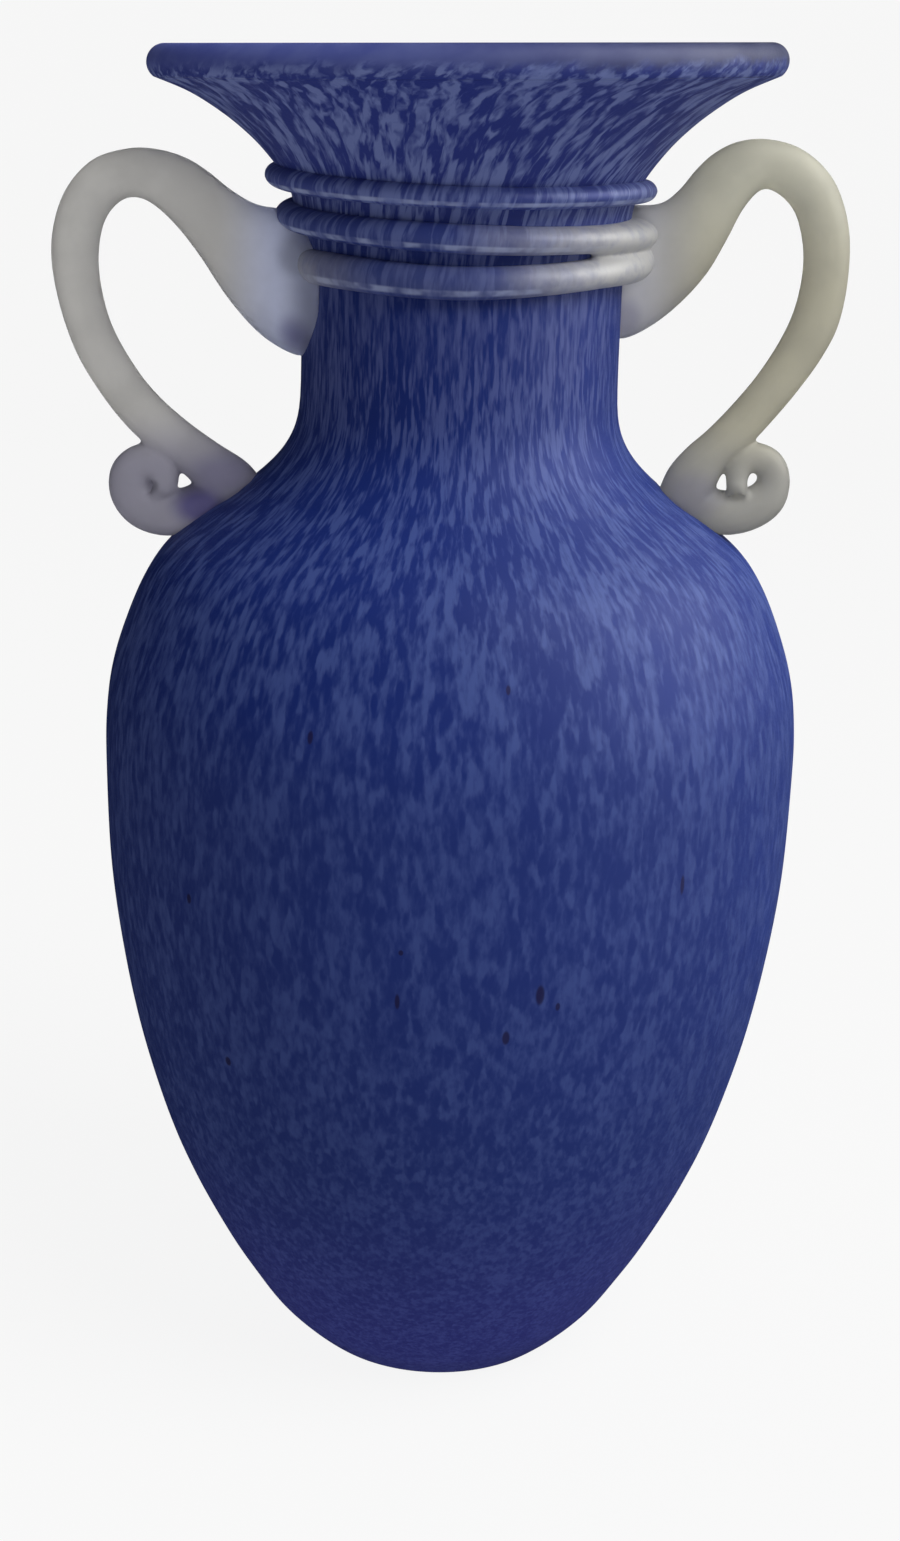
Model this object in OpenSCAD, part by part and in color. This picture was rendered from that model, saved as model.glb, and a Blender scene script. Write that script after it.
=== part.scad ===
// Two-handled blown-glass amphora: a mottled blue vessel with a spiral of clear glass laid round
// its neck and a clear, scrolled handle on each side, all fused together while hot.
// Frame: +Z up, origin at the middle of the foot's resting face, handles along X, front towards -Y.

/* [Vessel] */
// Height from the resting face to the top of the lip
height = 300; // [285:1:315]
// Outside diameter of the belly at its widest
belly_d = 156; // [150:1:162]
// Outside diameter of the straight neck
neck_d = 69.8; // [68:0.2:71]
// Outside diameter of the lip
rim_d = 135.6; // [128:0.2:142]
// Diameter of the flat resting face
foot_d = 54; // [48:1:58]
// Wall thickness of belly, shoulder and neck
wall = 4.4; // [3.6:0.1:5.2]
// Diameter of the rounded bead that ends the lip
lip_bead_d = 7.6; // [6.6:0.2:8.4]
// Glass thickness under the hollow, at the middle of the foot
floor_t = 9; // [7:0.5:12]

/* [Applied glass] */
// Thickness, front to back, of the handle arms
arm_depth = 9.8; // [8.5:0.1:11]
// How far the neck trail's centre line stands out of the wall, as a share of its own bulge
trail_lift = 0.15; // [0.05:0.05:0.3]

/* [Hidden] */

COBALT = [0.15, 0.19, 0.47];
PLAIN_BLUE = [0.13, 0.17, 0.45];
CLEAR = [0.66, 0.66, 0.62];

unit = height / 300;          // the curves below are drawn for a 300 mm tall vessel
belly_z = 143 * unit;         // height of the widest point
neck_low_z = 222 * unit;      // the straight part of the neck
neck_high_z = 250 * unit;
rim_r = rim_d / 2;
bead_r = lip_bead_d / 2;
bead_centre = [rim_r - bead_r, height - bead_r];
lip_under_angle = -52;        // where the flare's underside runs into the bead
lip_inside_angle = 132;       // where the bead runs into the flare's inside
lip_wall = 6.6;               // wall thickness of the flare just below the lip
curve_steps = 5;              // straight steps between two stations of a curve
bead_steps = 10;
envelope_sides = 96;          // sides of the solid that applied glass is trimmed to
usual_arm_depth = 9.8;        // the arm depth that the stations below are drawn with
slice_t = 0.1;
sweep_steps = 2;              // steps between two stations of a handle
slice_sides = 20;
trail_sides = 14;
trail_steps = 30;             // steps in each turn of the trail
tip_sides = 20;

// ---- Curves -------------------------------------------------------------------------------

function catmull(a, b, c, d, t) =
    0.5 * (2 * b + (c - a) * t + (2 * a - 5 * b + 4 * c - d) * t * t + (3 * b - a - 3 * c + d) * t * t * t);

// A smooth curve through stations of any kind, with its ends kept
function smooth_through(s, steps) = [
    for (i = [0 : len(s) - 2]) for (k = [0 : steps - 1])
        catmull(s[max(i - 1, 0)], s[i], s[i + 1], s[min(i + 2, len(s) - 1)], k / steps),
    s[len(s) - 1]
];

// Stations of a stretch of outline: each is [share of the rise, share of the change in radius]
function stretch(low_z, high_z, low_r, high_r, shares) = [
    for (s = shares) [low_r + (high_r - low_r) * s[1], low_z + (high_z - low_z) * s[0]]
];

function left_normal(p, i) =
    let (a = p[max(i - 1, 0)], b = p[min(i + 1, len(p) - 1)], along = (b - a) / norm(b - a))
    [-along[1], along[0]];

// ---- Outline of the vessel, as [radius, height] --------------------------------------------

foot_edge = [[foot_d / 2, 0], [foot_d / 2 + 2.4 * unit, 0.9 * unit]];
lower_shares = [[0.04, 0.155], [0.085, 0.27], [0.14, 0.373], [0.21, 0.49], [0.315, 0.637],
                [0.42, 0.752], [0.56, 0.863], [0.70, 0.938], [0.84, 0.985], [1, 1]];
shoulder_shares = [[0.152, 0.007], [0.278, 0.04], [0.405, 0.112], [0.525, 0.208], [0.614, 0.322],
                   [0.695, 0.5], [0.785, 0.735], [0.85, 0.877], [0.925, 0.967], [1, 1]];
flare_shares = [[0, 0], [0.24, 0.03], [0.36, 0.065], [0.44, 0.115], [0.545, 0.235],
                [0.63, 0.36], [0.715, 0.52], [0.80, 0.725]];

lip_under = bead_centre + bead_r * [cos(lip_under_angle), sin(lip_under_angle)];
outer_stations = concat(
    foot_edge,
    stretch(0, belly_z, foot_d / 2, belly_d / 2, lower_shares),
    stretch(belly_z, neck_low_z, belly_d / 2, neck_d / 2, shoulder_shares),
    stretch(neck_high_z, height, neck_d / 2, rim_r, flare_shares),
    [lip_under]
);
outer_curve = smooth_through(outer_stations, curve_steps);

lip_bead = [
    for (k = [1 : bead_steps])
        let (angle = lip_under_angle + (lip_inside_angle - lip_under_angle) * k / bead_steps)
        bead_centre + bead_r * [cos(angle), sin(angle)]
];

// The wall swells from its usual thickness to the lip's, over the flare
function wall_at(z) =
    let (share = max(0, (z - neck_high_z) / (height - neck_high_z)))
    wall + (lip_wall - wall) * pow(share, 2);

hollow_low_z = 12 * unit;
hollow_high_z = height - 3.2 * lip_bead_d / 2;
inner_curve = [
    for (i = [0 : len(outer_curve) - 1])
        let (p = outer_curve[i])
        if (p[1] > hollow_low_z && p[1] < hollow_high_z) p + wall_at(p[1]) * left_normal(outer_curve, i)
];
floor_curve = smooth_through(
    [[0, floor_t], [16 * unit, floor_t + 0.4], [28 * unit, floor_t + 2.4], inner_curve[0]], curve_steps);

vessel_radius_table = [for (p = outer_curve) [p[1], p[0]]];
function vessel_r(z) = lookup(z, vessel_radius_table);

function reversed(p) = [for (i = [len(p) - 1 : -1 : 0]) p[i]];

// ---- Handles: stations are [outer edge x, z, inner edge x, z, depth, y], for a 300 mm vessel ----

left_arm = [
    [30, 264, 30, 235.4, 29, -4.2], [36, 264.8, 35, 233.6, 25.5, -4], [44, 265.4, 43, 237.4, 17.5, -2.6],
    [50, 268.3, 50.4, 244.8, 13, -1.2], [55, 272, 57, 254.2, 11.4, -0.6],
    [60, 274.8, 62.3, 260.6, 10.4, 0], [66, 276.4, 67.6, 265.1, 10, 0], [72.5, 276.4, 71.8, 266.1, 9.8, 0],
    [80.3, 273.7, 75.3, 264.2, 9.8, 0], [86.4, 266.6, 77.9, 260, 9.8, 0], [89.2, 256.5, 79, 253.2, 9.8, 0],
    [88.3, 245.6, 78.3, 245.8, 9.6, 0], [84.6, 233.6, 76, 238, 9.6, 0], [79.2, 224.2, 71.2, 229.6, 9.6, 0],
    [73, 216.4, 66, 223.3, 9.8, 0], [66.6, 210.8, 59.6, 217.8, 10, 0], [61.6, 207.2, 53, 213.2, 10.6, 0],
    [58, 203.4, 46.4, 209, 11.4, 0], [55, 197.5, 42, 203.5, 11.4, 0]
];
right_arm = [
    [29, 265.5, 29, 239.5, 18, 4], [36, 267, 36, 238.2, 17.6, 4], [42.5, 267.6, 41.8, 241.2, 15.6, 3.2],
    [46.4, 270.6, 47.8, 246.4, 13.4, 2], [49.8, 275.1, 53.2, 253, 11.8, 1],
    [53.4, 278.6, 57.1, 260.4, 10.8, 0.4], [58.2, 281.1, 60.2, 267, 10.2, 0],
    [64.8, 281.8, 64, 271.2, 10, 0], [72.5, 279.7, 67.8, 270.2, 10, 0], [79.2, 273.8, 71.2, 266.8, 10, 0],
    [83, 264.8, 73.2, 261.3, 10, 0], [83.9, 254.7, 73.9, 255, 10, 0], [82.6, 243.6, 72.9, 247.2, 9.8, 0],
    [79.2, 235.6, 70.4, 240.2, 9.6, 0], [73.8, 227.4, 65.8, 232.1, 9.4, 0], [68, 220, 60.4, 225, 9.4, 0],
    [63.4, 214.8, 55.2, 219.2, 9.6, 0], [59.6, 210.8, 50.6, 214.9, 10, 0],
    [57.6, 206.6, 47, 210.4, 10.8, 0], [56.4, 202.4, 45, 205.6, 11.2, 0], [54, 198, 43, 201, 10.6, 0]
];

// Scrolls: stations are [x, z, thickness, y] along the middle of the rod
left_scroll = [
    [48, 204.6, 9, 0], [53, 201.6, 9.8, 0], [59, 198.7, 10, 0], [64.6, 197.3, 10, 0],
    [69.6, 198.6, 9.8, 0], [72.4, 202, 9.6, 0], [72.4, 206, 9.4, 0], [69.6, 208.4, 9, 0],
    [66.5, 207.8, 8.2, -0.6], [65.1, 205.2, 7, -1.4], [66.2, 203, 6, -2], [68.2, 203.8, 4.6, -2]
];
right_scroll = [
    [49, 205.2, 8.6, 0], [54, 202.2, 9.4, 0], [59.6, 200.8, 10, 0], [64.8, 201.6, 9.6, 0],
    [68.9, 204.2, 8.8, 0], [70.4, 208.4, 7.3, 0], [69.1, 212, 6.8, 0], [65.6, 213.3, 6.8, 0],
    [62.8, 211.9, 6.2, -0.8], [62, 209, 5, -1.8], [62.1, 206.4, 4.8, -2.8]
];

// Turns the middle line of a rod into edge-to-edge stations, square to its run
function rod_stations(path) = [
    for (i = [0 : len(path) - 1])
        let (
            a = path[max(i - 1, 0)], b = path[min(i + 1, len(path) - 1)],
            run = [b[0] - a[0], b[1] - a[1]],
            across = [-run[1], run[0]] / norm(run) * path[i][2] / 2,
            p = path[i]
        )
        [p[0] + across[0], p[1] + across[1], p[0] - across[0], p[1] - across[1], p[2], p[3]]
];

// Neck trail: stations are [turns from the start, z, height of the bead, bulge]; it starts thick
// on the right, passes the front first and thins as it climbs.
trail_stations = [
    [-0.04, 256.4, 5, 3], [0, 255.8, 9.2, 5.6], [0.105, 254.5, 6.5, 4.4], [0.25, 252.9, 7, 3.2],
    [0.37, 253.7, 7.3, 3], [0.5, 254.2, 7, 3], [0.75, 256.8, 6.8, 3], [0.9, 260.4, 6.4, 3.8],
    [1, 261.1, 7.2, 5.6], [1.12, 261.5, 5.8, 3.8], [1.25, 261.8, 6.1, 3.2], [1.5, 263.8, 5.6, 4],
    [1.75, 267.2, 5.2, 3.2], [2, 270.4, 4.9, 3.2], [2.25, 270.2, 4.7, 3], [2.5, 272, 5.4, 3.8],
    [2.72, 273.4, 4.2, 2.6], [2.86, 274, 2.2, 1.2]
];

// ---- Solids ---------------------------------------------------------------------------------

// Everything inside the vessel's outer surface, which applied glass is trimmed to
module vessel_envelope() {
    rotate_extrude($fn = envelope_sides)
        polygon(concat([[0, 0]], outer_curve, lip_bead, [[0, height - bead_r]]));
}

module vessel() {
    color(COBALT)
        rotate_extrude($fn = 180)
            polygon(concat([[0, 0]], outer_curve, [lip_bead[bead_steps - 1]], reversed(inner_curve),
                           reversed(floor_curve)));
}

// Half-round ring of plain blue glass, laid on the flare's cut end
module lip_wrap() {
    color(PLAIN_BLUE)
        rotate_extrude($fn = 180)
            polygon(concat([lip_under], lip_bead));
}

// A thin elliptical slice across a rod, between its two edges
module slice(s, deeper = 1) {
    reach = [s[0] - s[2], s[1] - s[3]];
    translate([(s[0] + s[2]) / 2, s[5], (s[1] + s[3]) / 2])
        rotate([0, -atan2(reach[1], reach[0]), 0])
            scale([norm(reach) / 2, deeper * s[4] / 2, 1])
                cylinder(r = 1, h = slice_t, center = true, $fn = slice_sides);
}

module rod(stations, deeper = 1) {
    for (i = [0 : len(stations) - 2])
        hull() {
            slice(stations[i], deeper);
            slice(stations[i + 1], deeper);
        }
}

module scroll(path) {
    smoothed = smooth_through(path, sweep_steps);
    tip = path[len(path) - 1];
    rod(rod_stations(smoothed));
    translate([tip[0], tip[3], tip[1]])
        sphere(d = tip[2], $fn = tip_sides);
}

// One handle, drawn on the +X side: an arm from the neck to the shoulder, and the scroll that ends it
module handle(side, arm, curl) {
    color(CLEAR)
        difference() {
            mirror([side < 0 ? 1 : 0, 0, 0])
                scale(unit) {
                    rod(smooth_through(arm, sweep_steps), arm_depth / usual_arm_depth);
                    scroll(curl);
                }
            vessel_envelope();
            trail_bead();
        }
}

module handle_left() {
    handle(-1, left_arm, left_scroll);
}

module handle_right() {
    handle(1, right_arm, right_scroll);
}

// One slice of the trail, square to its run round the neck
module trail_slice(s) {
    z = s[1] * unit;
    rotate([0, 0, -360 * s[0]])
        translate([vessel_r(z) + trail_lift * s[3], 0, z])
            rotate([90, 0, 0])
                scale([s[3], s[2] / 2, 1])
                    cylinder(r = 1, h = slice_t, center = true, $fn = trail_sides);
}

module trail_bead() {
    turns = trail_stations[len(trail_stations) - 1][0] - trail_stations[0][0];
    first = trail_stations[0][0];
    steps = round(turns * trail_steps);
    rows = smooth_through(trail_stations, 6);
    run = [for (column = [1 : 3]) [for (r = rows) [r[0], r[column]]]];
    beads = [
        for (i = [0 : steps])
            let (t = first + turns * i / steps)
            [t, lookup(t, run[0]), lookup(t, run[1]), lookup(t, run[2])]
    ];
    for (i = [0 : steps - 1])
        hull() {
            trail_slice(beads[i]);
            trail_slice(beads[i + 1]);
        }
}

module neck_trail() {
    color(CLEAR)
        difference() {
            trail_bead();
            vessel_envelope();
        }
}

vessel();
lip_wrap();
neck_trail();
handle_left();
handle_right();
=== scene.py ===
"""Looks of the two-handled glass amphora: satin mottled-blue vessel, plain lip band, clear neck thread and
frosted handles. Metres, +Z up, origin at the middle of the foot, handles along X, front towards -Y."""
import bisect
import math

import bmesh
import bpy
from mathutils import Matrix, Vector


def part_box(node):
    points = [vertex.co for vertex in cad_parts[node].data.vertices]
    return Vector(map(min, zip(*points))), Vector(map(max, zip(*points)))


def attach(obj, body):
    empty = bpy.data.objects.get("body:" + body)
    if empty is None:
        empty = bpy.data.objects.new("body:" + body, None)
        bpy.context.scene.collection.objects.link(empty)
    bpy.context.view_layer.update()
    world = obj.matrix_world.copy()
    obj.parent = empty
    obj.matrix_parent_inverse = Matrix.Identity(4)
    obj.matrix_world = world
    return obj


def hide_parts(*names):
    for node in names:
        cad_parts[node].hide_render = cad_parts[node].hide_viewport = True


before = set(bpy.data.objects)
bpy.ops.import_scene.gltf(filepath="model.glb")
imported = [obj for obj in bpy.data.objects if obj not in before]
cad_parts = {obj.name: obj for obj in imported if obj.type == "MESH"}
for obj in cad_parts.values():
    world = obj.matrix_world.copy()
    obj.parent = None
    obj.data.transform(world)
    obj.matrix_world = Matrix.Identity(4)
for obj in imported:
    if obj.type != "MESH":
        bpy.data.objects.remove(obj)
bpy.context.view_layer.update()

MM = 0.001
TURN = 2 * math.pi

# ---- Sizes, read from the frame where it holds them ------------------------------------------
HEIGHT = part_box("lip_wrap")[1].z
RIM_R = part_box("lip_wrap")[1].x
BELLY_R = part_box("vessel")[1].x
NECK_R = 34.9 * MM
FOOT_R = 27 * MM
BELLY_Z = 143 * MM
NECK_LOW_Z = 222 * MM
NECK_HIGH_Z = 250 * MM
WALL = 4.4 * MM
LIP_WALL = 6.6 * MM
BEAD_R = 3.8 * MM
FLOOR_T = 9 * MM
LIP_LEAN = math.radians(1.5)        # the lip was rolled slightly out of level, higher on the right
LEAN_FROM_Z = 235 * MM
SPIN_STEPS = 192
CURVE_STEPS = 6                     # steps between two stations of a rod, arm or thread
BEAD_STEPS = 28


# ---- Curves -----------------------------------------------------------------------------------
def catmull(a, b, c, d, t):
    bend = 2 * a - 5 * b + 4 * c - d
    return 0.5 * (2 * b + (c - a) * t + bend * t ** 2 + (3 * b - a - 3 * c + d) * t ** 3)


def smooth_through(stations, steps):
    """A smooth curve through stations (vectors or numbers), ends kept."""
    last = len(stations) - 1
    curve = []
    for i in range(last):
        around = [stations[max(i - 1, 0)], stations[i], stations[i + 1], stations[min(i + 2, last)]]
        curve += [catmull(*around, k / steps) for k in range(steps)]
    return curve + [stations[last]]


def lookup(table, x):
    """Straight-line value at x in a table of rising (x, value) pairs."""
    if x <= table[0][0]:
        return table[0][1]
    if x >= table[-1][0]:
        return table[-1][1]
    above = bisect.bisect_left(table, (x,))
    (x0, y0), (x1, y1) = table[above - 1], table[above]
    return y0 + (y1 - y0) * (x - x0) / max(x1 - x0, 1e-12)


def ease(t):
    t = min(max(t, 0), 1)
    return t * t * (3 - 2 * t)


def stretch(low_z, high_z, low_r, high_r, shares):
    """Outline points between two heights and radii, from their shares of the way up and across."""
    return [Vector((low_r + (high_r - low_r) * across, low_z + (high_z - low_z) * up))
            for up, across in shares]


# ---- Outline of the vessel, as (radius, height) -----------------------------------------------
# Each stretch is a list of (share of the way up, share of the way across)
LOWER = [(0.04, 0.155), (0.085, 0.27), (0.14, 0.373), (0.21, 0.49), (0.315, 0.637),
         (0.42, 0.752), (0.56, 0.863), (0.70, 0.938), (0.84, 0.985), (1, 1)]
SHOULDER = [(0.152, 0.007), (0.278, 0.04), (0.405, 0.112), (0.525, 0.208), (0.614, 0.322),
            (0.695, 0.5), (0.785, 0.735), (0.85, 0.877), (0.925, 0.967), (1, 1)]
FLARE = [(0, 0), (0.24, 0.03), (0.36, 0.065), (0.44, 0.115), (0.545, 0.235),
         (0.63, 0.36), (0.715, 0.52), (0.80, 0.725)]
LIP_UNDER_ANGLE = -52
LIP_INSIDE_ANGLE = 132
BEAD_CENTRE = Vector((RIM_R - BEAD_R, HEIGHT - BEAD_R))
OUTLINE_STEPS = 8
NECK_FOOT = ((204 * MM, 244 * MM), (206 * MM, 242 * MM))    # where the neck runs into the shoulder
NECK_FOOT_REACH = (-4 * MM, -2 * MM, 0, 2 * MM, 4 * MM)


def on_bead(degrees, radius=BEAD_R):
    angle = math.radians(degrees)
    return BEAD_CENTRE + radius * Vector((math.cos(angle), math.sin(angle)))


def wall_at(z):
    share = max(0, (z - NECK_HIGH_Z) / (HEIGHT - NECK_HIGH_Z))
    return WALL + (LIP_WALL - WALL) * share ** 2


def left_normal(curve, i):
    along = (curve[min(i + 1, len(curve) - 1)] - curve[max(i - 1, 0)]).normalized()
    return Vector((-along.y, along.x))


OUTER = smooth_through(
    [Vector((FOOT_R, 0)), Vector((FOOT_R + 2.4 * MM, 0.9 * MM))]
    + stretch(0, BELLY_Z, FOOT_R, BELLY_R, LOWER)
    + stretch(BELLY_Z, NECK_LOW_Z, BELLY_R, NECK_R, SHOULDER)
    + stretch(NECK_HIGH_Z, HEIGHT, NECK_R, RIM_R, FLARE)
    + [on_bead(LIP_UNDER_ANGLE)], OUTLINE_STEPS)
for low_z, high_z in NECK_FOOT:     # evened out twice, so that no crease is left
    before = [(p.y, p.x) for p in OUTER]
    for p in OUTER:
        if low_z < p.y < high_z:
            p.x = sum(lookup(before, p.y + reach) for reach in NECK_FOOT_REACH) / len(NECK_FOOT_REACH)
INNER = [p + wall_at(p.y) * left_normal(OUTER, i) for i, p in enumerate(OUTER)
         if 12 * MM < p.y < HEIGHT - 3.2 * BEAD_R]
FLOOR = smooth_through([Vector((0, FLOOR_T)), Vector((16 * MM, FLOOR_T + 0.4 * MM)),
                        Vector((28 * MM, FLOOR_T + 2.4 * MM)), INNER[0]], CURVE_STEPS)
RADIUS_AT = [(p.y, p.x) for p in OUTER]

# How closely the colour grains follow each other along the surface, by height: low is long streaks
DRAW_RATE = [(0, 1.1), (20 * MM, 0.8), (45 * MM, 0.45), (80 * MM, 0.24), (120 * MM, 0.17), (185 * MM, 0.15),
             (215 * MM, 0.13), (250 * MM, 0.15), (272 * MM, 0.17), (290 * MM, 0.22), (300 * MM, 0.4)]
GRAIN_R = 35 * MM                   # radius at which grains keep their own width
FLARE_TWIST = 0.32                  # radians that the flare's streaks turn as they rise


# ---- Mesh helpers -------------------------------------------------------------------------------
def as_object(bm, name):
    mesh = bpy.data.meshes.new(name)
    bm.to_mesh(mesh)
    bm.free()
    for polygon in mesh.polygons:
        polygon.use_smooth = True
    piece = bpy.data.objects.new(name, mesh)
    bpy.context.scene.collection.objects.link(piece)
    return piece


def lean(bm):
    """Tips everything above the neck slightly, about the front-to-back line."""
    for v in bm.verts:
        v.co.z += v.co.x * math.tan(LIP_LEAN) * ease((v.co.z - LEAN_FROM_Z) / (HEIGHT - LEAN_FROM_Z))


def spun(name, outline, draws):
    """Turns an outline of (radius, height) into a closed shell. draws is how far along the glass was drawn at
    each point, and the attribute 'flow' made from it carries the colour grains round the piece."""
    bm = bmesh.new()
    drawn = bm.verts.layers.float.new("drawn")
    line = []
    for p, d in zip(outline, draws):
        v = bm.verts.new((p.x, 0, p.y))
        v[drawn] = d
        line.append(v)
    edges = [bm.edges.new(pair) for pair in zip(line, line[1:])]
    if (outline[0] - outline[-1]).length > 1e-9 and outline[0].x > 1e-9:
        edges.append(bm.edges.new((line[-1], line[0])))
    bmesh.ops.spin(bm, geom=line + edges, cent=(0, 0, 0), axis=(0, 0, 1), angle=TURN, steps=SPIN_STEPS,
                   use_merge=True)
    bmesh.ops.remove_doubles(bm, verts=bm.verts, dist=1e-6)
    bmesh.ops.recalc_face_normals(bm, faces=bm.faces)
    flow = bm.verts.layers.float_vector.new("flow")
    for v in bm.verts:
        v[flow] = flow_at(v.co, v[drawn])
    lean(bm)
    return as_object(bm, name)


def flow_at(place, drawn):
    """Where a point lies in the drawn-out glass: round a cylinder, and drawn along it."""
    height_share = (place.z - NECK_HIGH_Z) / (HEIGHT - NECK_HIGH_Z)
    angle = math.atan2(place.y, place.x) - FLARE_TWIST * max(height_share, 0) ** 1.5
    return Vector((GRAIN_R * math.cos(angle), GRAIN_R * math.sin(angle), drawn))


def draws_along(curve):
    total, draws = 0, [0]
    for a, b in zip(curve, curve[1:]):
        total += (b - a).length * lookup(DRAW_RATE, (a.y + b.y) / 2)
        draws.append(total)
    return draws


def sweep(bm, sections, sides):
    """Extrudes a round section through a row of matrices and closes both ends."""
    start = bmesh.ops.create_circle(bm, cap_ends=False, radius=1, segments=sides, matrix=sections[0])
    edges = list({e for v in start["verts"] for e in v.link_edges})
    ends = [edges]
    for before, after in zip(sections, sections[1:]):
        grown = bmesh.ops.extrude_edge_only(bm, edges=edges)["geom"]
        ring = {g for g in grown if isinstance(g, bmesh.types.BMVert)}
        bmesh.ops.transform(bm, matrix=after @ before.inverted(), verts=list(ring))
        edges = [g for g in grown if isinstance(g, bmesh.types.BMEdge) and ring.issuperset(g.verts)]
    ends.append(edges)
    for end in ends:
        bmesh.ops.edgeloop_fill(bm, edges=end)


def section(centre, wide, deep):
    """A matrix that lays the unit circle at centre, with half-axes wide and deep."""
    normal = wide.cross(deep).normalized() * min(wide.length, deep.length)
    m = Matrix((wide, deep, normal)).transposed().to_4x4()
    m.translation = centre
    return m


def round_ended(sections, start=True, steps=5):
    """Adds a dome of shrinking sections at the end, and at the start too unless told not to."""
    def dome(m, sign):
        return [m @ Matrix.Translation((0, 0, sign * math.sin(a)))
                @ Matrix.Diagonal((math.cos(a), math.cos(a), 1, 1))
                for a in (math.pi / 2 * 0.97 * k / steps for k in range(1, steps + 1))]
    head = dome(sections[0], -1)[::-1] if start else []
    return head + sections + dome(sections[-1], 1)


def fused(piece, grain, smoothing):
    """Runs the piece's overlapping parts together into one skin, as hot glass does, and smooths it."""
    fuse = piece.modifiers.new("fuse", "REMESH")
    fuse.mode = "VOXEL"
    fuse.voxel_size = grain
    skin = bpy.data.meshes.new_from_object(piece.evaluated_get(bpy.context.evaluated_depsgraph_get()))
    piece.modifiers.clear()
    bm = bmesh.new()
    bm.from_mesh(skin)
    bpy.data.meshes.remove(skin)
    for _ in range(smoothing):
        bmesh.ops.smooth_vert(bm, verts=bm.verts, factor=0.5, use_axis_x=True, use_axis_y=True,
                              use_axis_z=True)
    bm.to_mesh(piece.data)
    bm.free()
    for polygon in piece.data.polygons:
        polygon.use_smooth = True
    return piece


def rooted(piece, depth=1.2 * MM):
    """Draws a piece's root back so that it ends inside the vessel's wall and never shows in the bore."""
    for v in piece.data.vertices:
        least = lookup(RADIUS_AT, v.co.z) - depth
        reach = math.hypot(v.co.x, v.co.y)
        if 0 < reach < least:
            v.co.x *= least / reach
            v.co.y *= least / reach
    return piece


# ---- Vessel and lip -----------------------------------------------------------------------------
def make_vessel():
    """The blown body: foot, outside, the land under the lip, inside and floor, as one closed wall."""
    outer_draws = draws_along(OUTER)
    foot = [Vector((0, 0)), Vector((FOOT_R * 0.5, 0)), Vector((FOOT_R * 0.93, 0))]
    inside = [on_bead(LIP_INSIDE_ANGLE)] + INNER[::-1] + FLOOR[-2::-1]
    inner_draws = [outer_draws[-1] + 3 * MM + 0.3 * (inside[0] - p).length for p in inside]
    foot_draws = [-0.8 * (FOOT_R - p.x) for p in foot]
    return spun("vessel_body", foot + OUTER + inside, foot_draws + outer_draws + inner_draws)


def make_lip():
    """The rolled band of plain glass along the edge: a round bead that closes over the wall's end."""
    turned = LIP_INSIDE_ANGLE - LIP_UNDER_ANGLE
    outline = [on_bead(LIP_UNDER_ANGLE + turned * k / BEAD_STEPS) for k in range(BEAD_STEPS + 1)]
    under = [outline[-1].lerp(outline[0], k / 4) for k in range(1, 4)]
    draws = [draws_along(OUTER)[-1] + k * 0.25 * MM for k in range(len(outline) + len(under))]
    return spun("lip_band", outline + under, draws)


# ---- Neck thread ----------------------------------------------------------------------------------
# Stations: turns from the start on the right (front comes first), height, bead height, bulge; mm
THREAD = [
    (-0.04, 256.4, 5, 3), (0, 255.8, 9.2, 5.6), (0.105, 254.5, 6.5, 4.4), (0.25, 252.9, 7, 3.2),
    (0.37, 253.7, 7.3, 3), (0.5, 254.2, 7, 3), (0.75, 256.8, 6.8, 3), (0.9, 260.4, 6.4, 3.8),
    (1, 261.1, 7.2, 5.6), (1.12, 261.5, 5.8, 3.8), (1.25, 261.8, 6.1, 3.2), (1.5, 263.8, 5.6, 4),
    (1.75, 267.2, 5.2, 3.2), (2, 270.4, 4.9, 3.2), (2.25, 270.2, 4.7, 3), (2.5, 272, 5.4, 3.8),
    (2.72, 273.4, 4.2, 2.6), (2.86, 274, 2.2, 1.2)]
THREAD_LIFT = 0.15                  # how far the bead's middle stands off the wall, as a share of its bulge
THREAD_STEPS = 260
THREAD_GRAIN = 0.45 * MM
THREAD_SMOOTHING = 7
# How cloudy the glass is, by turns along the thread: milky where it is thick on the right, then clear
CLOUDINESS = [
    (-0.04, 1), (0.1, 1), (0.16, 0.55), (0.22, 0.06), (0.33, 0.02), (0.39, 0.25), (0.45, 0.62), (0.6, 0.5),
    (0.75, 0.3), (0.9, 0.7), (1.02, 1), (1.11, 0.9), (1.19, 0.3), (1.26, 0), (1.5, 0), (2, 0.1), (2.1, 0)]


def turns_at(place, columns):
    """Which turn of the thread a point of its skin belongs to."""
    share = (-math.atan2(place.y, place.x) / TURN) % 1
    candidates = [share + whole for whole in (-1, 0, 1, 2)]
    candidates = [t for t in candidates if THREAD[0][0] - 0.1 <= t <= THREAD[-1][0] + 0.1]
    return min(candidates, key=lambda t: abs(lookup(columns[0], t) * MM - place.z))


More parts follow.
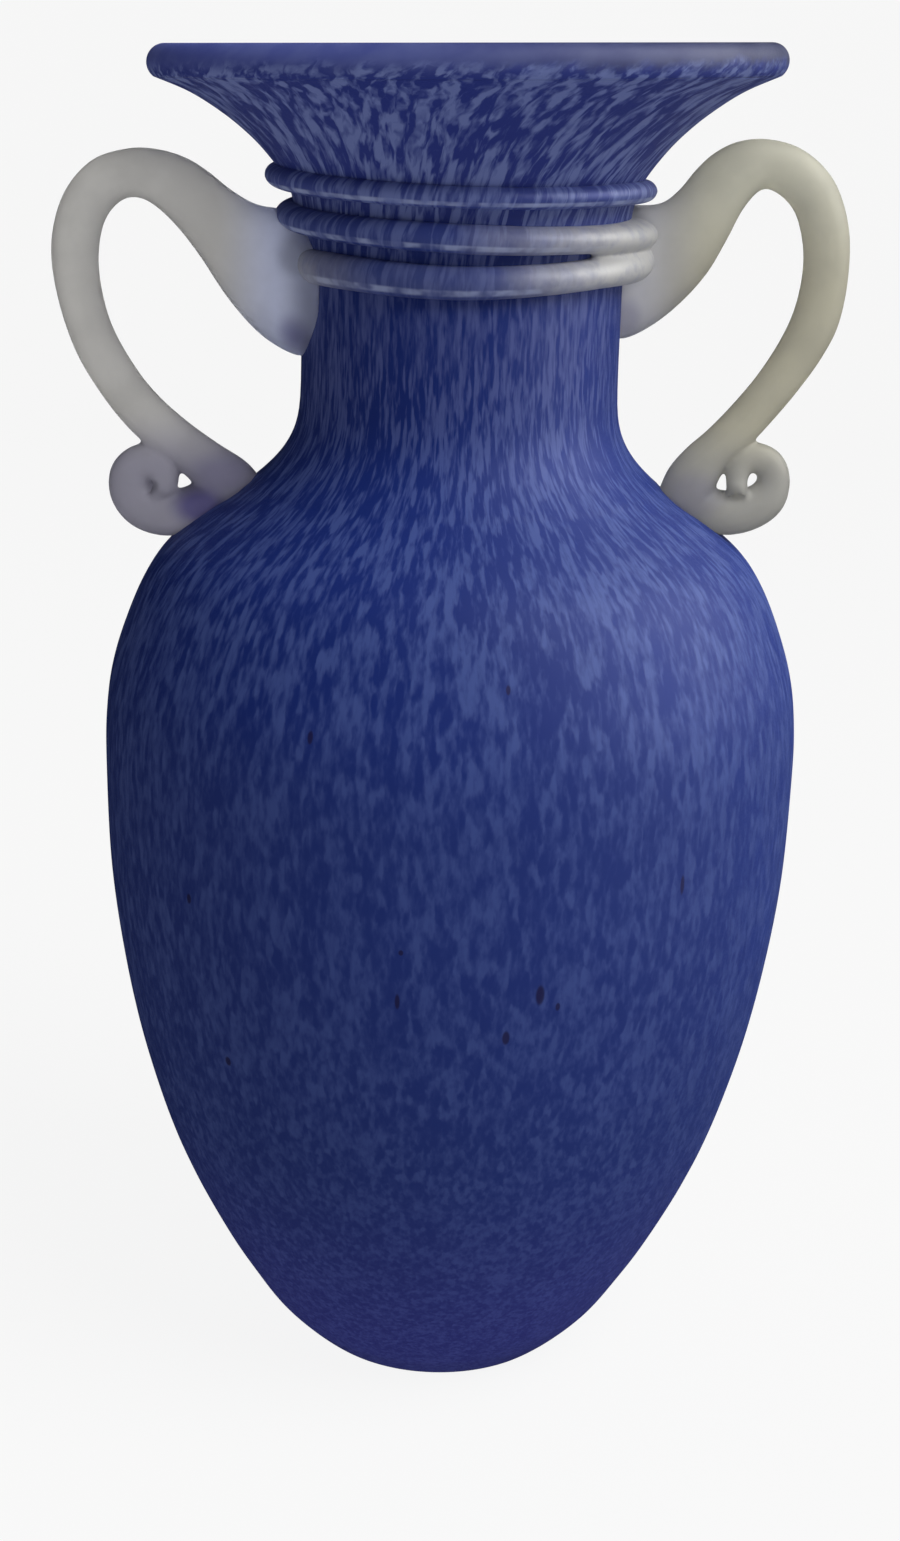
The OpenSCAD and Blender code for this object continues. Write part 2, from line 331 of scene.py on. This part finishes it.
def make_thread():
    """One long bead wound round the neck; where two turns touch they run together. Attributes on its skin say
    how cloudy it is, how high up the bead a point is (-1 to 1) and where it lies in the drawn-out glass."""
    stations = smooth_through([Vector(s) for s in THREAD], CURVE_STEPS)
    columns = [[(s[0], s[c]) for s in stations] for c in (1, 2, 3)]
    first, last = THREAD[0][0], THREAD[-1][0]
    sections = []
    for k in range(THREAD_STEPS + 1):
        turns = first + (last - first) * k / THREAD_STEPS
        z, tall, bulge = (lookup(column, turns) * MM for column in columns)
        angle = -TURN * turns
        outward = Vector((math.cos(angle), math.sin(angle), 0))
        centre = outward * (lookup(RADIUS_AT, z) + THREAD_LIFT * bulge) + Vector((0, 0, z))
        sections.append(section(centre, outward * bulge, Vector((0, 0, tall / 2))))
    bm = bmesh.new()
    sweep(bm, round_ended(sections), 28)
    bmesh.ops.recalc_face_normals(bm, faces=bm.faces)
    piece = fused(as_object(bm, "neck_thread"), THREAD_GRAIN, THREAD_SMOOTHING)
    drawn_at = [(p.y, d) for p, d in zip(OUTER, draws_along(OUTER))]
    clouds, levels, flows = [], [], []
    for v in piece.data.vertices:
        turns = turns_at(v.co, columns)
        middle, tall = (lookup(column, turns) * MM for column in columns[:2])
        clouds.append(lookup(CLOUDINESS, turns))
        levels.append((v.co.z - middle) / (tall / 2))
        flows.extend(flow_at(v.co, lookup(drawn_at, v.co.z)))
    new_attribute = piece.data.attributes.new
    new_attribute("cloudy", "FLOAT", "POINT").data.foreach_set("value", clouds)
    new_attribute("level", "FLOAT", "POINT").data.foreach_set("value", levels)
    new_attribute("flow", "FLOAT_VECTOR", "POINT").data.foreach_set("vector", flows)
    return rooted(piece)


# ---- Handles ----------------------------------------------------------------------------------------
# Arms: outer edge x, z, inner edge x, z, depth front to back, y; mm, drawn on the +X side
LEFT_ARM = [
    (30, 264, 30, 235.4, 29, -4.2), (36, 264.8, 35, 233.6, 25.5, -4), (44, 265.4, 43, 237.4, 17.5, -2.6),
    (50, 268.3, 50.4, 244.8, 13, -1.2), (55, 272, 57, 254.2, 11.4, -0.6), (60, 274.8, 62.3, 260.6, 10.4, 0),
    (66, 276.4, 67.6, 265.1, 10, 0), (72.5, 276.4, 71.8, 266.1, 9.8, 0), (80.3, 273.7, 75.3, 264.2, 9.8, 0),
    (86.4, 266.6, 77.9, 260, 9.8, 0), (89.2, 256.5, 79, 253.2, 9.8, 0), (88.3, 245.6, 78.3, 245.8, 9.6, 0),
    (84.6, 233.6, 76, 238, 9.6, 0), (79.2, 224.2, 71.2, 229.6, 9.6, 0), (73, 216.4, 66, 223.3, 9.8, 0),
    (66.6, 210.8, 59.6, 217.8, 10, 0), (61.6, 207.2, 53, 213.2, 10.6, 0), (58, 203.4, 46.4, 209, 11.4, 0),
    (55, 197.5, 42, 203.5, 11.4, 0)]
RIGHT_ARM = [
    (32, 266.4, 32, 238.8, 17.8, 4), (36, 267, 36, 238.2, 17.6, 4), (42.5, 267.6, 41.8, 241.2, 15.6, 3.2),
    (46.4, 270.6, 47.8, 246.4, 13.4, 2), (49.8, 275.1, 53.2, 253, 11.8, 1),
    (53.4, 278.6, 57.1, 260.4, 10.8, 0.4), (58.2, 281.1, 60.2, 267, 10.2, 0),
    (64.8, 281.8, 64, 271.2, 10, 0), (72.5, 279.7, 67.8, 270.2, 10, 0), (79.2, 273.8, 71.2, 266.8, 10, 0),
    (83, 264.8, 73.2, 261.3, 10, 0), (83.9, 254.7, 73.9, 255, 10, 0), (82.6, 243.6, 72.9, 247.2, 9.8, 0),
    (79.2, 235.6, 70.4, 240.2, 9.6, 0), (73.8, 227.4, 65.8, 232.1, 9.4, 0), (68, 220, 60.4, 225, 9.4, 0),
    (63.4, 214.8, 55.2, 219.2, 9.6, 0), (59.6, 210.8, 50.6, 214.9, 10, 0),
    (57.6, 206.6, 47, 210.4, 10.8, 0), (56.4, 202.4, 45, 205.6, 11.2, 0), (54, 198, 43, 201, 10.6, 0)]
# Scrolls: x, z, thickness, y along the middle of the rod
LEFT_SCROLL = [
    (48, 204.6, 9, 0), (53, 201.6, 9.8, 0), (59, 198.7, 10, 0), (64.6, 197.3, 10, 0),
    (69.6, 198.6, 9.8, 0), (72.4, 202, 9.6, 0), (72.4, 206, 9.4, 0), (69.6, 208.4, 9, 0),
    (66.5, 207.8, 8.2, -0.6), (65.1, 205.2, 7, -1.4), (66.2, 203, 6, -2), (68.2, 203.8, 4.6, -2)]
RIGHT_SCROLL = [
    (49, 205.2, 8.6, 0), (54, 202.2, 9.4, 0), (59.6, 200.8, 10, 0), (64.8, 201.6, 9.6, 0),
    (68.9, 204.2, 8.8, 0), (70.4, 208.4, 7.3, 0), (69.1, 212, 6.8, 0), (65.6, 213.3, 6.8, 0),
    (62.8, 211.9, 6.2, -0.8), (62, 209, 5, -1.8), (62.1, 206.4, 4.8, -2.8), (62.1, 204.2, 4.4, -3.4)]
HANDLE_GRAIN = 0.5 * MM
HANDLE_SMOOTHING = 6


def arm_sections(stations):
    sections = []
    for s in smooth_through([Vector(s) * MM for s in stations], CURVE_STEPS):
        outer, inner = Vector((s[0], s[5], s[1])), Vector((s[2], s[5], s[3]))
        sections.append(section((outer + inner) / 2, (outer - inner) / 2, Vector((0, s[4] / 2, 0))))
    return sections


def rod_sections(path):
    points = smooth_through([Vector(p) * MM for p in path], CURVE_STEPS)
    sections = []
    for i, p in enumerate(points):
        before, after = points[max(i - 1, 0)], points[min(i + 1, len(points) - 1)]
        run = Vector((after[0] - before[0], 0, after[1] - before[1])).normalized()
        across = Vector((-run.z, 0, run.x)) * p[2] / 2
        sections.append(section(Vector((p[0], p[3], p[1])), across, Vector((0, p[2] / 2, 0))))
    return sections


def make_handle(name, side, arm, scroll):
    """Arm and scroll, fused into one skin as hot glass runs together."""
    bm = bmesh.new()
    sweep(bm, arm_sections(arm), 32)
    sweep(bm, round_ended(rod_sections(scroll), start=False), 28)
    if side < 0:
        bmesh.ops.scale(bm, vec=(-1, 1, 1), verts=bm.verts)
    bmesh.ops.recalc_face_normals(bm, faces=bm.faces)
    return rooted(fused(as_object(bm, name), HANDLE_GRAIN, HANDLE_SMOOTHING))


# ---- Materials ----------------------------------------------------------------------------------------
class Recipe:
    """A material being put together: makes nodes and joins them."""

    def __init__(self, name):
        self.material = bpy.data.materials.new(name)
        self.material.use_nodes = True
        self.tree = self.material.node_tree
        self.tree.nodes.clear()
        self.shader = self.node("ShaderNodeBsdfPrincipled")
        out = self.node("ShaderNodeOutputMaterial")
        self.join(self.shader.outputs["BSDF"], out.inputs["Surface"])

    def node(self, kind, **settings):
        made = self.tree.nodes.new(kind)
        for key, value in settings.items():
            setattr(made, key, value)
        return made

    def join(self, source, target):
        """Links an output to an input, or sets the input where the source is a plain value."""
        if isinstance(source, (int, float, tuple)):
            target.default_value = source
        else:
            self.tree.links.new(source, target)

    def set(self, **values):
        for key, value in values.items():
            self.shader.inputs[key.replace("_", " ")].default_value = value

    def math(self, operation, *terms):
        made = self.node("ShaderNodeMath", operation=operation)
        for socket, term in zip(made.inputs, terms):
            self.join(term, socket)
        return made.outputs[0]

    def ramp(self, source, low, high, low_value=0.0, high_value=1.0):
        """low_value at low and high_value at high, eased between."""
        made = self.node("ShaderNodeMapRange", interpolation_type="SMOOTHSTEP")
        for key, value in (("Value", source), ("From Min", low), ("From Max", high),
                           ("To Min", low_value), ("To Max", high_value)):
            self.join(value, made.inputs[key])
        return made.outputs[0]

    def blend(self, share, first, second):
        """The first colour where share is 0, the second where it is 1."""
        made = self.node("ShaderNodeMix", data_type="RGBA")
        self.join(share, made.inputs[0])
        self.join(first, made.inputs[6])
        self.join(second, made.inputs[7])
        return made.outputs[2]

    def axes(self, vector):
        parted = self.node("ShaderNodeSeparateXYZ")
        self.join(vector, parted.inputs[0])
        return parted.outputs["X"], parted.outputs["Y"], parted.outputs["Z"]

    def attribute(self, name, output):
        return self.node("ShaderNodeAttribute", attribute_name=name).outputs[output]

    def in_mm(self, vector):
        made = self.node("ShaderNodeMapping")
        self.join(vector, made.inputs["Vector"])
        made.inputs["Scale"].default_value = (1 / MM,) * 3
        return made.outputs[0]

    def noise(self, vector, scale, detail=2.0, roughness=0.5, output="Fac"):
        made = self.node("ShaderNodeTexNoise")
        self.join(vector, made.inputs["Vector"])
        made.inputs["Scale"].default_value = scale
        made.inputs["Detail"].default_value = detail
        made.inputs["Roughness"].default_value = roughness
        return made.outputs[output]

    def jostled(self, vector, scale, amounts):
        """The vector, pushed about by noise of that scale, by an amount along each axis."""
        wobble = self.noise(vector, scale, 2.0, output="Color")
        shifted = self.node("ShaderNodeVectorMath", operation="MULTIPLY_ADD")
        self.join(wobble, shifted.inputs[0])
        shifted.inputs[1].default_value = amounts
        self.join(vector, shifted.inputs[2])
        return shifted.outputs[0]

    def bump(self, height, strength, distance):
        made = self.node("ShaderNodeBump")
        made.inputs["Strength"].default_value = strength
        made.inputs["Distance"].default_value = distance
        self.join(height, made.inputs["Height"])
        self.join(made.outputs[0], self.shader.inputs["Normal"])


def flow_mm(r):
    """Where a point lies in the drawn-out glass, in millimetres."""
    return r.in_mm(r.attribute("flow", "Vector"))


def place_mm(r):
    """Where a point lies on the object, in millimetres. All pattern sizes below are in mm or per mm."""
    return r.in_mm(r.node("ShaderNodeTexCoord").outputs["Object"])


def distance_within(r, place, centre, reach):
    """Distance from centre in units of the reach along each axis."""
    away = r.node("ShaderNodeVectorMath", operation="SUBTRACT")
    r.join(place, away.inputs[0])
    away.inputs[1].default_value = centre
    sized = r.node("ShaderNodeVectorMath", operation="MULTIPLY")
    r.join(away.outputs[0], sized.inputs[0])
    sized.inputs[1].default_value = tuple(1 / span for span in reach)
    length = r.node("ShaderNodeVectorMath", operation="LENGTH")
    r.join(sized.outputs[0], length.inputs[0])
    return length.outputs["Value"]


def satin(r, place, grain, roughness, bump):
    """The etched surface: fine tooth in the roughness, and as bumps."""
    tooth = r.noise(place, grain, 3.0, 0.6)
    r.join(r.ramp(tooth, 0.3, 0.7, *roughness), r.shader.inputs["Roughness"])
    r.set(IOR=1.5, Specular_IOR_Level=0.12)
    r.bump(tooth, bump, 0.05 * MM)


# Glass colours, in linear light: dark ground and pale grain of the body, foot, neck and flare
BODY_DARK, BODY_PALE = (0.0065, 0.02, 0.15, 1), (0.045, 0.073, 0.25, 1)
FOOT_DARK, FOOT_PALE = (0.02, 0.023, 0.195, 1), (0.058, 0.075, 0.33, 1)
NECK_PALE = (0.06, 0.08, 0.245, 1)
# The flare's colours are lighter partly for its paler glass and partly as painted light in the shade under
# the flare
FLARE_DARK_LIT, FLARE_PALE_LIT = (0.026, 0.04, 0.22, 1), (0.15, 0.19, 0.43, 1)
SPECK_COLOUR = (0.01, 0.008, 0.05, 1)
# The lip's plain glass, thin and cloudy, each on the left and on the right; the left is painted lighter and
# bluer as painted light, the right darker and greyer as painted shade against the right-hand lamp
LIP_THIN_PAINTED_SIDES = (0.064, 0.084, 0.32, 1), (0.026, 0.03, 0.07, 1)
LIP_CLOUDY_PAINTED_SIDES = (0.092, 0.117, 0.36, 1), (0.042, 0.047, 0.095, 1)
# The thread's glass
THREAD_TINT = (0.2, 0.27, 0.7, 1)
# Painted highlight along the thread's underside
THREAD_PAINTED_HIGHLIGHT = (0.36, 0.42, 0.66, 1)
THREAD_MILK = (0.62, 0.62, 0.62, 1)
# The handles' glass, each on the left and on the right; the right one is olive grey from a painted warm
# reflection
ARM_LOW = (0.63, 0.62, 0.6, 1), (0.5, 0.48, 0.385, 1)
# Painted light: the arms' tops are lighter than their low parts
ARM_LIT_TOP = (0.65, 0.64, 0.62, 1), (0.58, 0.57, 0.48, 1)
# Painted reflection of the blue vessel where the arms come by the neck
ARM_NECK_REFLECTION = (0.63, 0.69, 0.95, 1), (0.52, 0.52, 0.57, 1)
# Painted shade in the curls
ARM_CURL_SHADE = (0.37, 0.36, 0.44, 1), (0.4, 0.395, 0.37, 1)
ARM_SHADE = (0.1, 0.1, 0.1, 1)
# Painted reflection and shade of the vessel on the handles
PAINTED_VESSEL_BLUE = (0.07, 0.06, 0.24, 1)


# Dark bits of unmelted colour: angle round the belly in degrees, height, width and length in mm
SPECKS = [(-75, 113.5, 2, 5), (-80, 104, 1.7, 3.6), (-96.5, 123, 1.1, 1.3), (-97, 112, 1.1, 4),
          (-72, 110.5, 1.1, 2), (-81, 177, 1, 3.4), (-111.5, 166, 1.3, 3.4), (-51, 133.5, 1.2, 4.6),
          (-128.5, 90, 1.7, 2.4)]
SPECKS += [(40 + 31 * k, 88 + 37 * k % 92, 1 + 0.2 * (k % 4), 2.4 + 0.7 * (k % 3)) for k in range(7)]


def speck_mask(r, place):
    """1 inside a speck and 0 outside, softly."""
    mask = 0.0
    for degrees, z, width, length in SPECKS:
        radius = lookup(RADIUS_AT, z * MM) / MM
        angle = math.radians(degrees)
        centre = (radius * math.cos(angle), radius * math.sin(angle), z)
        reach = distance_within(r, place, centre, (width / 2, width / 2, length / 2))
        mask = r.math("MAXIMUM", r.ramp(reach, 1.15, 0.65), mask)
    return mask


def drawn_grains(r, flow, size):
    """Pale grains about size mm across at the neck, drawn out along the flow: 0 dark to 1 pale."""
    ragged = r.jostled(flow, 1.3 / size, (0.6 * size,) * 3)
    grains = r.node("ShaderNodeTexVoronoi", feature="SMOOTH_F1")
    grains.inputs["Scale"].default_value = 1 / size
    grains.inputs["Smoothness"].default_value = 0.9
    r.join(ragged, grains.inputs["Vector"])
    parted = r.node("ShaderNodeSeparateColor")
    r.join(grains.outputs["Color"], parted.inputs[0])
    streaks = r.noise(ragged, 1.3 / size, 2.0, 0.5)
    clouds = r.noise(flow, 0.22, 2.0, 0.5)
    mixed = r.math("ADD", r.math("MULTIPLY", parted.outputs[0], 0.45),
                   r.math("ADD", r.math("MULTIPLY", streaks, 0.74), r.math("MULTIPLY", clouds, 0.26)))
    return r.ramp(mixed, 0.48, 1.03)


def mottled_colour(r, place):
    """Cobalt glass with paler grains drawn out of it, finest at the foot and broadest on the flare. The flare
    and the neck under it are made lighter, partly for paler glass and partly as painted light in the shade
    under the flare.
    """
    flow = flow_mm(r)
    z = r.axes(place)[2]
    # Painted light: from the neck between the thread's turns up onto the flare, partly paler glass and partly
    # painted light where the flare shades the neck
    flare_and_painted_light = r.ramp(z, 252, 274)
    grains = r.node("ShaderNodeMix", data_type="FLOAT")
    r.join(r.ramp(z, 222, 260), grains.inputs[0])
    r.join(drawn_grains(r, flow, 0.7), grains.inputs[2])
    # On the flare the streaks were stirred into loose curls as the lip was opened out
    stirred = r.jostled(flow, 0.4, (3.2, 3.2, 0.9))
    r.join(drawn_grains(r, stirred, 1.2), grains.inputs[3])
    strength = r.math("ADD", r.ramp(z, 20, 130, 0.58, 0.72), r.ramp(z, 140, 225, 0, 0.95))
    pale = r.math("ADD", r.ramp(z, 205, 240, 0.39, 0.43),
                  r.math("MULTIPLY", r.math("SUBTRACT", grains.outputs[0], 0.4), strength))
    on_foot = r.ramp(z, 75, 5)
    dark = r.blend(flare_and_painted_light, r.blend(on_foot, BODY_DARK, FOOT_DARK), FLARE_DARK_LIT)
    light = r.blend(r.ramp(z, 200, 240), r.blend(on_foot, BODY_PALE, FOOT_PALE), NECK_PALE)
    light = r.blend(flare_and_painted_light, light, FLARE_PALE_LIT)
    return r.blend(r.math("MULTIPLY", speck_mask(r, place), 0.85), r.blend(pale, dark, light), SPECK_COLOUR)


def mottled_glass():
    r = Recipe("mottled_blue_glass")
    place = place_mm(r)
    r.join(mottled_colour(r, place), r.shader.inputs["Base Color"])
    satin(r, place, grain=1.6, roughness=(0.52, 0.62), bump=0.08)
    return r.material


def plain_blue_glass():
    """The lip's own glass, cloudy and plain; the mottled colour runs up under its lower edge."""
    r = Recipe("plain_blue_glass")
    place = place_mm(r)
    x, _, z = r.axes(place)
    # Painted light and shade: the lip is lighter and bluer on the left, darker and greyer on the right
    side = r.ramp(x, -70, 70)
    clouds = r.noise(flow_mm(r), 0.2, 3.0, 0.5)
    plain = r.blend(r.ramp(clouds, 0.35, 0.7), r.blend(side, *LIP_THIN_PAINTED_SIDES), r.blend(side, *LIP_CLOUDY_PAINTED_SIDES))
    # The lip leans, so its lower edge is measured from the leaning rim
    level_z = r.math("SUBTRACT", z, r.math("MULTIPLY", x, math.tan(LIP_LEAN)))
    edge = r.math("ADD", level_z, r.math("MULTIPLY", r.noise(flow_mm(r), 0.3, 4.0, 0.65), 5.0))
    colour = r.blend(r.ramp(edge, 296.2, 299.8), mottled_colour(r, place), plain)
    r.join(colour, r.shader.inputs["Base Color"])
    satin(r, place, grain=2.2, roughness=(0.5, 0.6), bump=0.1)
    return r.material


def thread_glass():
    """Clear etched glass through which the neck's mottling shows, milky where it is thick."""
    r = Recipe("trail_glass")
    place = place_mm(r)
    level = r.attribute("level", "Fac")
    swirls = r.noise(place, 0.3, 3.0, 0.55)
    milk = r.math("MULTIPLY", r.attribute("cloudy", "Fac"), r.ramp(swirls, 0.25, 0.7, 0.75, 1.15))
    clear = r.blend(0.12, mottled_colour(r, place), THREAD_TINT)
    # A thin pale painted highlight runs along the underside, where light gathers in the glass
    underside = r.math("MULTIPLY", r.ramp(level, -0.3, -0.45), r.ramp(level, -0.8, -0.65))
    painted_highlight = r.math("MULTIPLY", underside, r.ramp(r.noise(place, 0.22, 2.0, 0.5), 0.35, 0.6, 0.1, 0.75))
    colour = r.blend(milk, r.blend(painted_highlight, clear, THREAD_PAINTED_HIGHLIGHT), THREAD_MILK)
    r.join(colour, r.shader.inputs["Base Color"])
    r.join(r.ramp(milk, 0, 1, 0.1, 0.25), r.shader.inputs["Transmission Weight"])
    r.join(r.ramp(swirls, 0.3, 0.7, 0.42, 0.5), r.shader.inputs["Roughness"])
    r.set(IOR=1.4, Specular_IOR_Level=0.15)
    return r.material


# Where the vessel's blue is painted on the handles, as painted reflection and painted shade where they come
# close to it: middle and reach, both in mm, and depth
VESSEL_BLUE_PAINTED_SPOTS = [((-56.5, -4, 200), (8, 9, 5.5), 0.95), ((-52, -4, 207), (9, 9, 6), 0.5),
                ((52, -4, 205), (8, 9, 7), 0.35), ((-35, -10, 240), (5, 9, 6), 0.8),
                ((36, -4, 243), (4, 9, 6), 0.4)]


def handle_glass():
    """Frosted glass, with painted light in its colour: olive grey on the right from a painted warm
    reflection, neutral on the left, lighter on top from painted light, a painted blue reflection by the neck,
    painted shade in the curls.
    """
    r = Recipe("handle_glass")
    place = place_mm(r)
    x, _, z = r.axes(place)
    # Painted reflection and painted light: olive grey towards the right, lighter towards the tops
    right = r.ramp(x, -50, 60)
    colour = r.blend(r.ramp(z, 248, 276), r.blend(right, *ARM_LOW), r.blend(right, *ARM_LIT_TOP))
    # Painted blue reflection of the vessel where the arms come close to the neck
    by_neck = r.ramp(r.math("ABSOLUTE", x), 54, 38)
    colour = r.blend(r.math("MULTIPLY", by_neck, 0.8), colour, r.blend(right, *ARM_NECK_REFLECTION))
    # Painted shade: darker in the curls
    colour = r.blend(r.ramp(z, 222, 208), colour, r.blend(right, *ARM_CURL_SHADE))
    # Painted reflection and shade of the vessel where the handles come close to it
    for centre, reach, deep in VESSEL_BLUE_PAINTED_SPOTS:
        near = r.ramp(distance_within(r, place, centre, reach), 1.1, 0.35)
        colour = r.blend(r.math("MULTIPLY", near, deep), colour, PAINTED_VESSEL_BLUE)
    shade = r.ramp(r.noise(place, 0.09, 3.0, 0.5), 0.35, 0.65, 0.14, 0)
    r.join(r.blend(shade, colour, ARM_SHADE), r.shader.inputs["Base Color"])
    tooth = r.noise(place, 0.9, 3.0, 0.6)
    r.join(r.ramp(tooth, 0.3, 0.7, 0.55, 0.65), r.shader.inputs["Roughness"])
    r.set(IOR=1.3, Transmission_Weight=0.6, Specular_IOR_Level=0.15)
    return r.material


# ---- Pieces -----------------------------------------------------------------------------------------
def finished(piece, material, slot, *nodes):
    piece.data.materials.clear()
    piece.data.materials.append(material)
    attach(piece, "root")
    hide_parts(*nodes)


finished(make_vessel(), mottled_glass(), "mottled_blue_glass", "vessel")
finished(make_lip(), plain_blue_glass(), "plain_blue_glass", "lip_wrap")
finished(make_thread(), thread_glass(), "trail_glass", "neck_trail")
frosted = handle_glass()
finished(make_handle("left_handle", -1, LEFT_ARM, LEFT_SCROLL), frosted, "handle_glass", "handle_left")
finished(make_handle("right_handle", 1, RIGHT_ARM, RIGHT_SCROLL), frosted, "handle_glass", "handle_right")


# ---- Stage, light and camera --------------------------------------------------------------------------
def make_stage():
    """A pale floor that sweeps up into a backdrop."""
    bm = bmesh.new()
    half_width, back, front, curve_r, top = 4.0, 2.2, -3.0, 0.8, 4.0
    line = [Vector((-half_width, front, 0)), Vector((-half_width, back - curve_r, 0))]
    line += [Vector((-half_width, back - curve_r + curve_r * math.sin(a), curve_r - curve_r * math.cos(a)))
             for a in (math.pi / 2 * k / 16 for k in range(1, 17))]
    line.append(Vector((-half_width, back, top)))
    verts = [bm.verts.new(p) for p in line]
    edges = [bm.edges.new(pair) for pair in zip(verts, verts[1:])]
    grown = bmesh.ops.extrude_edge_only(bm, edges=edges)["geom"]
    far_side = [g for g in grown if isinstance(g, bmesh.types.BMVert)]
    bmesh.ops.translate(bm, vec=(2 * half_width, 0, 0), verts=far_side)
    bmesh.ops.recalc_face_normals(bm, faces=bm.faces)
    sweep_cloth = as_object(bm, "studio_sweep")
    r = Recipe("studio_paper")
    r.set(Roughness=0.9, Specular_IOR_Level=0.0, Emission_Strength=0.895)
    r.shader.inputs["Base Color"].default_value = (0.06, 0.06, 0.06, 1)
    r.shader.inputs["Emission Color"].default_value = (1, 1, 1, 1)
    sweep_cloth.data.materials.append(r.material)
    sweep_cloth.visible_diffuse = False
    sweep_cloth.visible_glossy = False


def area_light(name, place, target, size, power, colour=(1, 1, 1)):
    """A round soft light of that size and power (metres, watts), aimed at the target."""
    lamp = bpy.data.lights.new(name, "AREA")
    lamp.shape = "DISK"
    lamp.size = size
    lamp.energy = power
    lamp.color = colour
    holder = bpy.data.objects.new(name, lamp)
    holder.location = place
    holder.rotation_euler = (Vector(target) - Vector(place)).to_track_quat("-Z", "Y").to_euler()
    bpy.context.scene.collection.objects.link(holder)
    return holder


def make_light():
    middle = (0, 0, HEIGHT * 0.55)
    key = area_light("key", (0.88, -0.74, 1.48), middle, 1.3, 28.5, (1.0, 0.99, 0.97))
    key.visible_glossy = False
    sheen = area_light("right_softbox", (1.15, -0.1, 0.95), middle, 1.8, 84, (1.0, 0.99, 0.92))
    sheen.visible_diffuse = sheen.visible_transmission = sheen.visible_camera = False
    bounce = area_light("table_bounce", (0, 0, 0.0004), (0, 0, 1), 4.5, 26, (1.0, 1.0, 1.0))
    bounce.data.shape = "SQUARE"
    bounce.visible_camera = bounce.visible_transmission = bounce.visible_glossy = False
    world = bpy.data.worlds.new("studio")
    world.use_nodes = True
    background = world.node_tree.nodes["Background"]
    background.inputs["Color"].default_value = (1, 1, 1, 1)
    background.inputs["Strength"].default_value = 0.25
    world.cycles_visibility.glossy = False
    bpy.context.scene.world = world


CAMERA_DISTANCE = 550 * MM          # from the vessel's axis, level with the lip
CAMERA_PITCH = math.radians(16.295)
CAMERA_ROLL = math.radians(1.5)
CAMERA_LENS = 58.2                  # for a 36 mm wide sensor


def make_camera():
    lens = bpy.data.cameras.new("camera")
    lens.lens = CAMERA_LENS
    lens.sensor_width = 36
    lens.sensor_fit = "AUTO"
    lens.clip_start = 0.01
    holder = bpy.data.objects.new("camera", lens)
    place = Matrix.Translation((0.0002, -CAMERA_DISTANCE, HEIGHT))
    tilt = Matrix.Rotation(math.pi / 2 - CAMERA_PITCH, 4, "X")
    holder.matrix_world = place @ tilt @ Matrix.Rotation(CAMERA_ROLL, 4, "Z")
    bpy.context.scene.collection.objects.link(holder)
    bpy.context.scene.camera = holder


make_stage()
make_light()
make_camera()
bpy.context.scene.view_settings.view_transform = "Standard"
bpy.context.scene.view_settings.look = "None"
